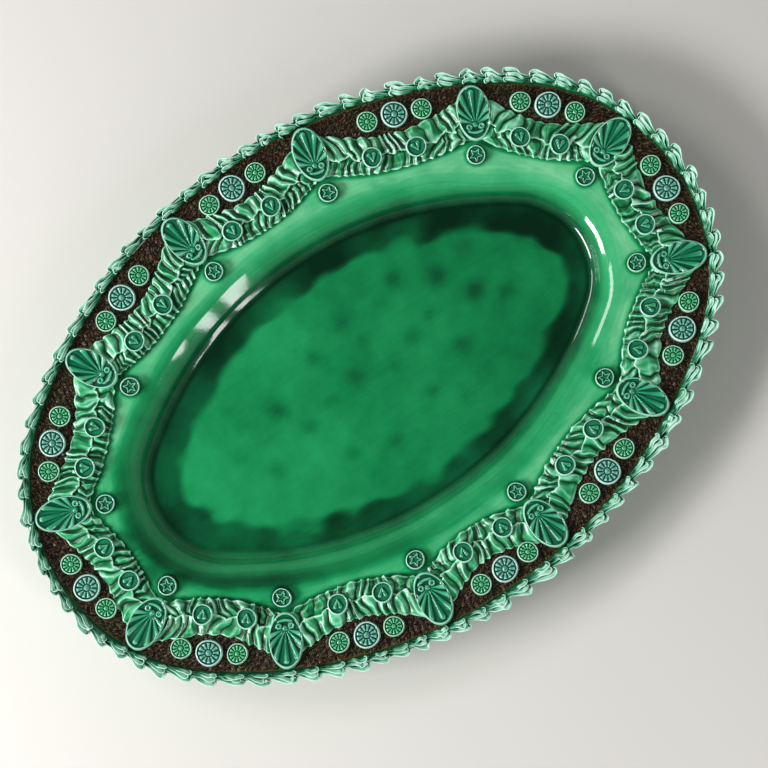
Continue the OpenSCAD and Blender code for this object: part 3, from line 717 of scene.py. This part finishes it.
# Mean length of a pleat in each swag, in mm, in its outer and its inner row
PLEATS = (
    (6.8, 6.2), (6.4, 5.4), (5.8, 4.6), (5.2, 4.2), (5.8, 5.0), (6.6, 6.0),
    (6.4, 6.2), (6.4, 6.2), (6.2, 5.8), (6.6, 5.8), (6.4, 5.8), (6.8, 6.2),
)
for number in range(12):
    hand = np.random.default_rng(300 + number)
    first, last = PLAQUES[number], PLAQUES[number + 1]
    length = (last - first) * LINE_LENGTH - PLAQUE_WIDE
    rows = []
    for lower in (False, True):
        pitch = PLEATS[number][lower]
        folds = np.concatenate([[0], np.cumsum(hand.uniform(0.55, 1.45, round(length / pitch)))])
        folds = folds / folds[-1]
        sizes, swings, skews, swells = hand.uniform(0, 1, (4, len(folds) + 8))
        slant = hand.uniform(0.3, 1.0) * hand.choice([-1, 1])
        starts = hand.uniform(0, 2 * np.pi, 4)
        piece, along, across = clay_sheet("ribbon_row", round(length / 0.42), 18)
        run = along * length
        # The phase counts pleats along the row, which lean and wander; each has its own height and skew
        phase = 3 + np.interp(along, folds, np.arange(len(folds))) + slant * (across - 0.4)
        phase += 0.22 * np.sin(run / 6 + across * 3 + starts[0])
        phase += 0.1 * np.sin(run / 3 - across * 5 + starts[1])
        fold = np.floor(phase).astype(int)
        part = (phase - fold) ** (0.75 + 0.9 * skews[fold])
        crest = (0.55 + 0.55 * sizes[fold]) * np.sin(np.pi * part).clip(0) ** 0.75
        puff = np.interp(phase, np.arange(len(swells)) + 0.5, swells) - 0.5
        crease = 0.07 * np.sin(phase * 11 + across * 5 + starts[2]) * np.sin(run / 2.3 + starts[3])
        # Every other pleat pulls the middle edge of the upper row to and fro
        turn = phase * 0.5 - slant * across * 0.5
        zigzag = (np.abs(np.mod(turn, 1) * 2 - 1) * 2 - 1) * (0.5 + 0.7 * swings[np.floor(turn).astype(int)])
        if lower:
            place = -0.12 + 1.12 * across
            level = np.interp(across, [0, 0.3, 0.7, 1], [1.3, 1.5, 1.3, 0.5])
            swell = np.interp(across, [0, 0.3, 0.7, 1], [0.4, 1.9, 2.4, 1.9])
            drift = (crest - 0.5) * 1.8 * ease(across, 0.5, 1)
        else:
            place = -1 + 1.03 * across
            level = np.interp(across, [0, 0.2, 0.5, 0.8, 1], [0.5, 1.0, 1.7, 2.5, 3.3])
            swell = np.interp(across, [0, 0.2, 0.5, 0.8, 1], [1.7, 2.5, 2.5, 2.0, 1.3])
            drift = -(crest - 0.5) * 1.7 * ease(1 - across, 0.55, 1) + 2.1 * zigzag * ease(across, 0.5, 1)
        # The row is laid between its two plaques, its crests leaning over
        inset = swag_inset(along, place) + drift
        start, stop = first + plaque_flank(first, inset), last - plaque_flank(last, inset)
        lean = 0.14 * pitch * np.sin(2 * np.pi * phase) * (0.4 + 0.6 * across) / LINE_LENGTH
        x, y = spot_at(outward_at(start + (stop - start) * along + lean), inset)
        high = level + swell * (crest + crease) + 0.9 * puff * np.sin(np.pi * across).clip(0) ** 0.5
        lay_clay(piece, x, y, flange_height(inset) + 0.2 + high)
        # Its edges are marked before it gets its thickness, for the glaze breaks pale there
        note(piece, "hem", ease(across, 0.9, 0.97) + (0 if lower else 0.5 * (1 - ease(across, 0.02, 0.08))))
        bpy.ops.object.shade_smooth()
        thick = piece.modifiers.new("thick", "SOLIDIFY")
        thick.thickness, thick.offset = 0.001, -1
        bpy.ops.object.modifier_apply(modifier="thick")
        rows.append(piece)
    ribbon = join_pieces(*rows)
    ribbon.name = ribbon.data.name = f"ribbon_swag_clay_{number + 1:02d}"
    spots = corners_of(ribbon)
    stands = spots[:, 2] - flange_height(inset_of(spots[:, 0], spots[:, 1]))
    hem = np.empty(len(spots))
    ribbon.data.attributes["hem"].data.foreach_get("value", hem)
    # Low parts over the flange are painted darker and high ones lighter: painted shade in the folds and under
    # the upper row's edge
    note_glaze(ribbon, 0.12, 0.8, (2, 12), (stands - 3.4) / 3.2 + hem)
    finish_piece(ribbon, "ribbon_glaze", f"ribbon_swag_{number + 1:02d}", coat=ribbon_coat)


# The oval plaques: clay pressed in a mould, each stuck over the joint of two swags with its long way across.
# A rounded rim stands round a dished field with a palmette: a fan of fronds that rises from two scrolls.
def on_flange(x, y, z, outward, inset, lift, twist):
    """Brings a piece's own spots, X outward and Z up, in mm, to its place on the sloping flange."""
    x, y = x * math.cos(twist) - y * math.sin(twist), x * math.sin(twist) + y * math.cos(twist)
    z = z + lift
    out = x * math.cos(FLANGE_SLOPE) - z * math.sin(FLANGE_SLOPE)
    px, py = spot_at(np.array(outward), inset)
    c, s = math.cos(outward), math.sin(outward)
    rise = x * math.sin(FLANGE_SLOPE) + z * math.cos(FLANGE_SLOPE)
    return px + out * c - y * s, py + out * s + y * c, float(flange_height(inset)) + rise


def press_clay(name, around, rows, half_long, half_wide, relief, place, waver):
    """A lump of clay pressed in a round or oval mould; relief gives the height of its face at each spot, and
    place its outward direction, inset, lift and twist on the flange."""
    # The rows run from the middle of the face to its edge, down the side, and underneath to the middle
    piece, turn, row = clay_sheet(name, around, rows + 4)
    row = np.rint(row * (rows + 4)).astype(int)
    out = np.concatenate([np.linspace(0, 1, rows + 1), [1.04, 1.04, 0.5, 0]])[row]
    angle = turn * 2 * np.pi
    hand = np.random.default_rng(around + int(abs(place[0]) * 1000) + int(abs(place[1]) * 10))
    starts = hand.uniform(0, 2 * np.pi, 2)
    wobble = 1 + waver * (np.sin(2 * angle + starts[0]) + 0.6 * np.sin(3 * angle + starts[1]))
    x, y = half_long * out * np.cos(angle), half_wide * out * np.sin(angle)
    z = relief(x, y, np.minimum(out, 1), angle)
    z = np.where(row == rows + 1, z * 0.55, np.where(row > rows + 1, 0, z))
    form_clay(piece, *on_flange(x * wobble, y * wobble, z, *place))
    return piece


def rounded(distance, radius):
    """Height of a rounded ridge over its half width, from 1 on its middle line to 0 at its edge."""
    return np.sqrt(np.clip(1 - (distance / radius) ** 2, 0, 1))


def from_line(x, y, start, end):
    """How far along a straight line each spot lies, as a share, and how far off it."""
    ax, ay, bx, by = *start, *end
    run = np.clip(((x - ax) * (bx - ax) + (y - ay) * (by - ay)) / ((bx - ax) ** 2 + (by - ay) ** 2), 0, 1)
    return run, np.hypot(x - ax - run * (bx - ax), y - ay - run * (by - ay))


def plaque_relief(x, y, out, angle):
    field = 2.9 + 1.1 * out**3
    rim = 0.8 * rounded((out - 0.96) * 14, 0.5)
    shape = np.zeros_like(x)
    for turn, long in ((0, 20.5), (21, 19.5), (43, 15.0), (66, 10.5)):
        for side in (-1, 1):
            heading = math.radians(side * turn)
            end = (-7.4 + long * math.cos(heading), long * math.sin(heading))
            run, off = from_line(x, y, (-7.4, 0), end)
            shape = np.maximum(shape, (0.6 + 0.9 * run) * rounded(off, 0.4 + 1.5 * run**1.2))
    shape = np.maximum(shape, 1.7 * rounded(np.hypot(x + 7.6, y), 2.0))
    for side in (-1, 1):
        away = np.hypot(x + 8.9, y - side * 3.9)
        shape = np.maximum(shape, np.maximum(1.4 * rounded(away - 1.35, 0.8), 1.2 * rounded(away, 0.6)))
    cuff = np.hypot(np.maximum(np.abs(y) - 4.0, 0), x + 12.7 - 0.06 * y**2)
    shape = np.maximum(shape, 1.3 * rounded(cuff, 1.1))
    return field + np.maximum(rim, shape * (out < 0.92)) - 0.8 * ease(out, 0.98, 1.0)


# The glaze is bluer here, dark in the field between the fronds and lighter on their ridges
plaque_coat = glaze_coat(
    "blue-green glaze over relief",
    [
        (0.0, "031f16"), (0.22, "084a35"), (0.42, "167c55"),
        (0.58, "329a6e"), (0.76, "66c098"), (0.93, "9fdcc0"),
    ],
    mottle=0.16,
    mottle_size=8,
)
for number in range(12):
    outward = float(outward_at(PLAQUES[number]))
    hand = np.random.default_rng(500 + number)
    plaque = press_clay(
        "plaque", 128, 44, PLAQUE_LONG / 2, PLAQUE_WIDE / 2, plaque_relief,
        (outward, ORNAMENT_LINE, 0.3, hand.uniform(-0.08, 0.08)), 0.012,
    )
    plaque.name = plaque.data.name = f"oval_plaque_clay_{number + 1:02d}"
    note_glaze(plaque, 0.3, 1.0, (3, 24), -0.25)
    finish_piece(plaque, "plaque_glaze", f"oval_plaque_{number + 1:02d}", coat=plaque_coat)

# The heart buttons: small round stamps of clay, two on the middle of each swag, pressed into its pleats.
# Each has a rounded rim and a heart whose point looks to the well; the glaze is dark in the field round it.
# Where the middle of each swag's pair lies, as a share of the way round; both stand 15.5 mm from it
HEARTS = [0.072, 0.161, 0.255, 0.342, 0.425, 0.507, 0.588, 0.669, 0.749, 0.828, 0.909, 0.992]
HEART_RADIUS, HEART_APART = 6.5, 15.5


def heart_relief(x, y, out, angle):
    field = 2.7 + 0.5 * out**2
    rim = 1.1 * rounded((out - 0.92) * HEART_RADIUS, 0.45)
    shape = np.zeros_like(x)
    for side in (-1, 1):
        run, off = from_line(x, y, (-2.6, 0), (1.7, side * 1.7))
        shape = np.maximum(shape, 1.3 * rounded(off, 0.5 + 0.95 * run))
    return field + np.maximum(rim, shape) - 0.9 * ease(out, 0.97, 1.0)


button_coat = glaze_coat(
    "green glaze over stamped buttons",
    [
        (0.0, "021c14"), (0.22, "07402f"), (0.42, "1c7a55"),
        (0.58, "40a176"), (0.76, "7dc9a6"), (0.93, "b6e6d2"),
    ],
    mottle=0.12,
    mottle_size=6,
)
buttons = []
for number, share in enumerate(HEARTS):
    for side in (-1, 1):
        at = share + side * HEART_APART / LINE_LENGTH
        along = (at - PLAQUES[number]) / (PLAQUES[number + 1] - PLAQUES[number])
        hand = np.random.default_rng(700 + number * 2 + side)
        buttons.append(
            press_clay(
                "heart", 72, 24, HEART_RADIUS, HEART_RADIUS, heart_relief,
                (float(outward_at(at)), float(swag_inset(along, 0)), 3.3, hand.uniform(-0.35, 0.35)), 0.025,
            )
        )
hearts = join_pieces(*buttons)
hearts.name = hearts.data.name = "heart_buttons_clay"
note_glaze(hearts, 0.24, 0.7, (2, 16), -0.15)
finish_piece(hearts, "button_glaze", "heart_buttons", coat=button_coat)

# The star buttons: like stamps on the plain flange, one below each plaque, with a five-pointed star drawn in
# a raised line. They stand clear of the flange; the dark ring round their foot, painted on the dish, is
# partly gathered glaze and partly painted shadow.
star_corners = []
for k in range(10):
    reach = STAR_RADIUS * (0.3 if k % 2 else 0.66)
    star_corners.append((reach * math.cos(k * math.pi / 5), reach * math.sin(k * math.pi / 5)))


def star_relief(x, y, out, angle):
    away = np.full_like(x, 99.0)
    for start, end in zip(star_corners, star_corners[1:] + star_corners[:1]):
        away = np.minimum(away, from_line(x, y, start, end)[1])
    rim = 1.2 * rounded((out - 0.92) * STAR_RADIUS, 0.45)
    return 2.5 + 0.4 * out**2 + np.maximum(rim, 0.9 * rounded(away, 0.5)) - 0.9 * ease(out, 0.97, 1.0)


buttons = []
for number in range(12):
    hand = np.random.default_rng(800 + number)
    buttons.append(
        press_clay(
            "star", 80, 26, STAR_RADIUS, STAR_RADIUS, star_relief,
            (float(outward_at(PLAQUES[number])), STAR_INSET, 0.1, hand.uniform(-0.6, 0.6)), 0.025,
        )
    )
stars = join_pieces(*buttons)
stars.name = stars.data.name = "star_buttons_clay"
note_glaze(stars, 0.24, 0.7, (2, 16), -0.2)
finish_piece(stars, "button_glaze", "star_buttons", coat=button_coat)

# The rosettes: round stamps on the grit band, a large one between two small ones in each bay of the swags.
# Twelve petals run from a round boss to a raised rim. The large stamps are bluer, the small ones light green.
# Where each large one lies, as a share of the way round
ROSETTES = [0.073, 0.157, 0.254, 0.338, 0.425, 0.507, 0.583, 0.668, 0.750, 0.826, 0.913, 0.992]
ROSETTE_INSET, ROSETTE_PITCH = 20.65, 17.95
LARGE_ROSETTE, SMALL_ROSETTE, PETALS = 8.25, 6.5, 12
ROSETTE_LINE = length_round(ROSETTE_INSET)


def rosette_relief(x, y, out, angle):
    petal = np.abs(np.mod(angle * PETALS / (2 * np.pi), 1) - 0.5) * 2
    reach = np.minimum(ease(out, 0.27, 0.36), 1 - ease(out, 0.72, 0.82))
    petals = 1.2 * rounded(petal, 0.76) * reach
    boss = 1.5 * rounded(out, 0.25)
    rim = 1.0 * rounded(out - 0.925, 0.055)
    return 3.1 + 0.2 * out**2 + np.maximum.reduce([petals, boss, rim]) - 0.9 * ease(out, 0.98, 1.0)


blue_coat = glaze_coat(
    "blue-green glaze over rosettes",
    [
        (0.0, "021614"), (0.22, "083d38"), (0.42, "297462"),
        (0.58, "56a08a"), (0.76, "8ecab8"), (0.93, "c8ebe1"),
    ],
    mottle=0.1,
    mottle_size=6,
)
light_coat = glaze_coat(
    "light green glaze over rosettes",
    [
        (0.0, "02180f"), (0.22, "07472d"), (0.42, "208654"),
        (0.58, "46ae77"), (0.76, "80d0a2"), (0.93, "c0ecd4"),
    ],
    mottle=0.1,
    mottle_size=6,
)
for number in range(12):
    group = []
    for side in (-1, 0, 1):
        radius = SMALL_ROSETTE if side else LARGE_ROSETTE
        hand = np.random.default_rng(900 + number * 3 + side)
        share = ROSETTES[number] + side * ROSETTE_PITCH / ROSETTE_LINE
        stamp = press_clay(
            "rosette", 144, 24, radius, radius, rosette_relief,
            (float(outward_at(share, ROSETTE_INSET)), ROSETTE_INSET, 0.2, hand.uniform(-0.3, 0.3)), 0.02,
        )
        stamp.data.materials.append(light_coat if side else blue_coat)
        group.append(stamp)
    rosettes = join_pieces(*group)
    rosettes.name = rosettes.data.name = f"rosettes_clay_{number + 1:02d}"
    note_glaze(rosettes, 0.18, 0.7, (2, 16), -0.15)
    finish_piece(rosettes, "rosette_glaze", f"rosettes_{number + 1:02d}")

# Floor, light and camera: a plain pale table, three soft lamps like windows, and a camera almost straight
# above. The photograph's frame is turned against the platter's axes: up and right are its directions there.
bpy.ops.object.select_all(action="DESELECT")
bpy.ops.mesh.primitive_plane_add(size=6, location=(0, 0, -0.0005))
table = bpy.context.object
table.name = "table"
table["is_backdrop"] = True
# Matt pale paint
paint = bpy.data.materials.new("pale table")
paint.use_nodes = True
paint.node_tree.nodes["Principled BSDF"].inputs["Base Color"].default_value = from_hex("d9d6d0")
paint.node_tree.nodes["Principled BSDF"].inputs["Roughness"].default_value = 0.8
table.data.materials.append(paint)

up = np.array([0.57, 0.8216, 0])
right = np.array([0.8216, -0.57, 0])
# Each lamp hangs so far to the right, up and above, in m, and has a size in m and a power in W
for name, spot, size, power in (
    ("window", (-1.25, -0.5, 0.8), (0.7, 0.34), 28),
    ("near window", (-0.93, 0.35, 0.95), (0.6, 0.24), 5),
    ("far window", (0.8, -0.8, 0.5), (0.1, 1.4), 6),
):
    lamp = bpy.data.lights.new(name, "AREA")
    lamp.shape, lamp.energy = "RECTANGLE", power
    lamp.size, lamp.size_y = size
    holder = bpy.data.objects.new(name, lamp)
    bpy.context.scene.collection.objects.link(holder)
    where = right * spot[0] + up * spot[1] + np.array([0, 0, spot[2]])
    holder.location = where
    holder.rotation_euler = (-Vector(where)).to_track_quat("-Z", "Y").to_euler()
world = bpy.data.worlds.new("studio")
bpy.context.scene.world = world
world.use_nodes = True
tree = world.node_tree
# Soft light from all round, which fades towards the ceiling so that the well doesn't mirror it
sky = add_node(tree, "ShaderNodeTexCoord").outputs["Generated"]
toward = add_node(tree, "ShaderNodeSeparateXYZ", {0: sky})
height = add_node(
    tree,
    "ShaderNodeMapRange",
    {"Value": toward.outputs["Z"], "From Min": 0.2, "From Max": 0.95, "To Min": 0.48, "To Max": 0.07},
)
tree.links.new(height.outputs[0], tree.nodes["Background"].inputs["Strength"])
tree.nodes["Background"].inputs["Color"].default_value = from_hex("f2f4f6")

eye = bpy.data.cameras.new("eye")
eye.lens, eye.sensor_width = 66.7, 36
camera = bpy.data.objects.new("camera", eye)
bpy.context.scene.collection.objects.link(camera)
bpy.context.scene.camera = camera
# The rim's middle lies at this pixel of the 768 by 768 frame, in which 1580 pixels are a metre
middle_pixel, frame_middle, pixels_per_metre = (370.6, 374.9), 384, 1580
rim_height, reach, tilt = 0.037, 0.9, math.radians(2.5)
aside, below = (np.array(middle_pixel) - frame_middle) / pixels_per_metre
aim = np.array([0, 0, rim_height]) - right * aside + up * below
camera.location = aim - up * reach * math.sin(tilt) + np.array([0, 0, reach * math.cos(tilt)])
back = Vector(camera.location) - Vector(aim)
back.normalize()
side = Vector(right)
over = back.cross(side)
camera.rotation_euler = Matrix((side, over, back)).transposed().to_euler()
bpy.context.scene.view_settings.view_transform = "Standard"

low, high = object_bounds()
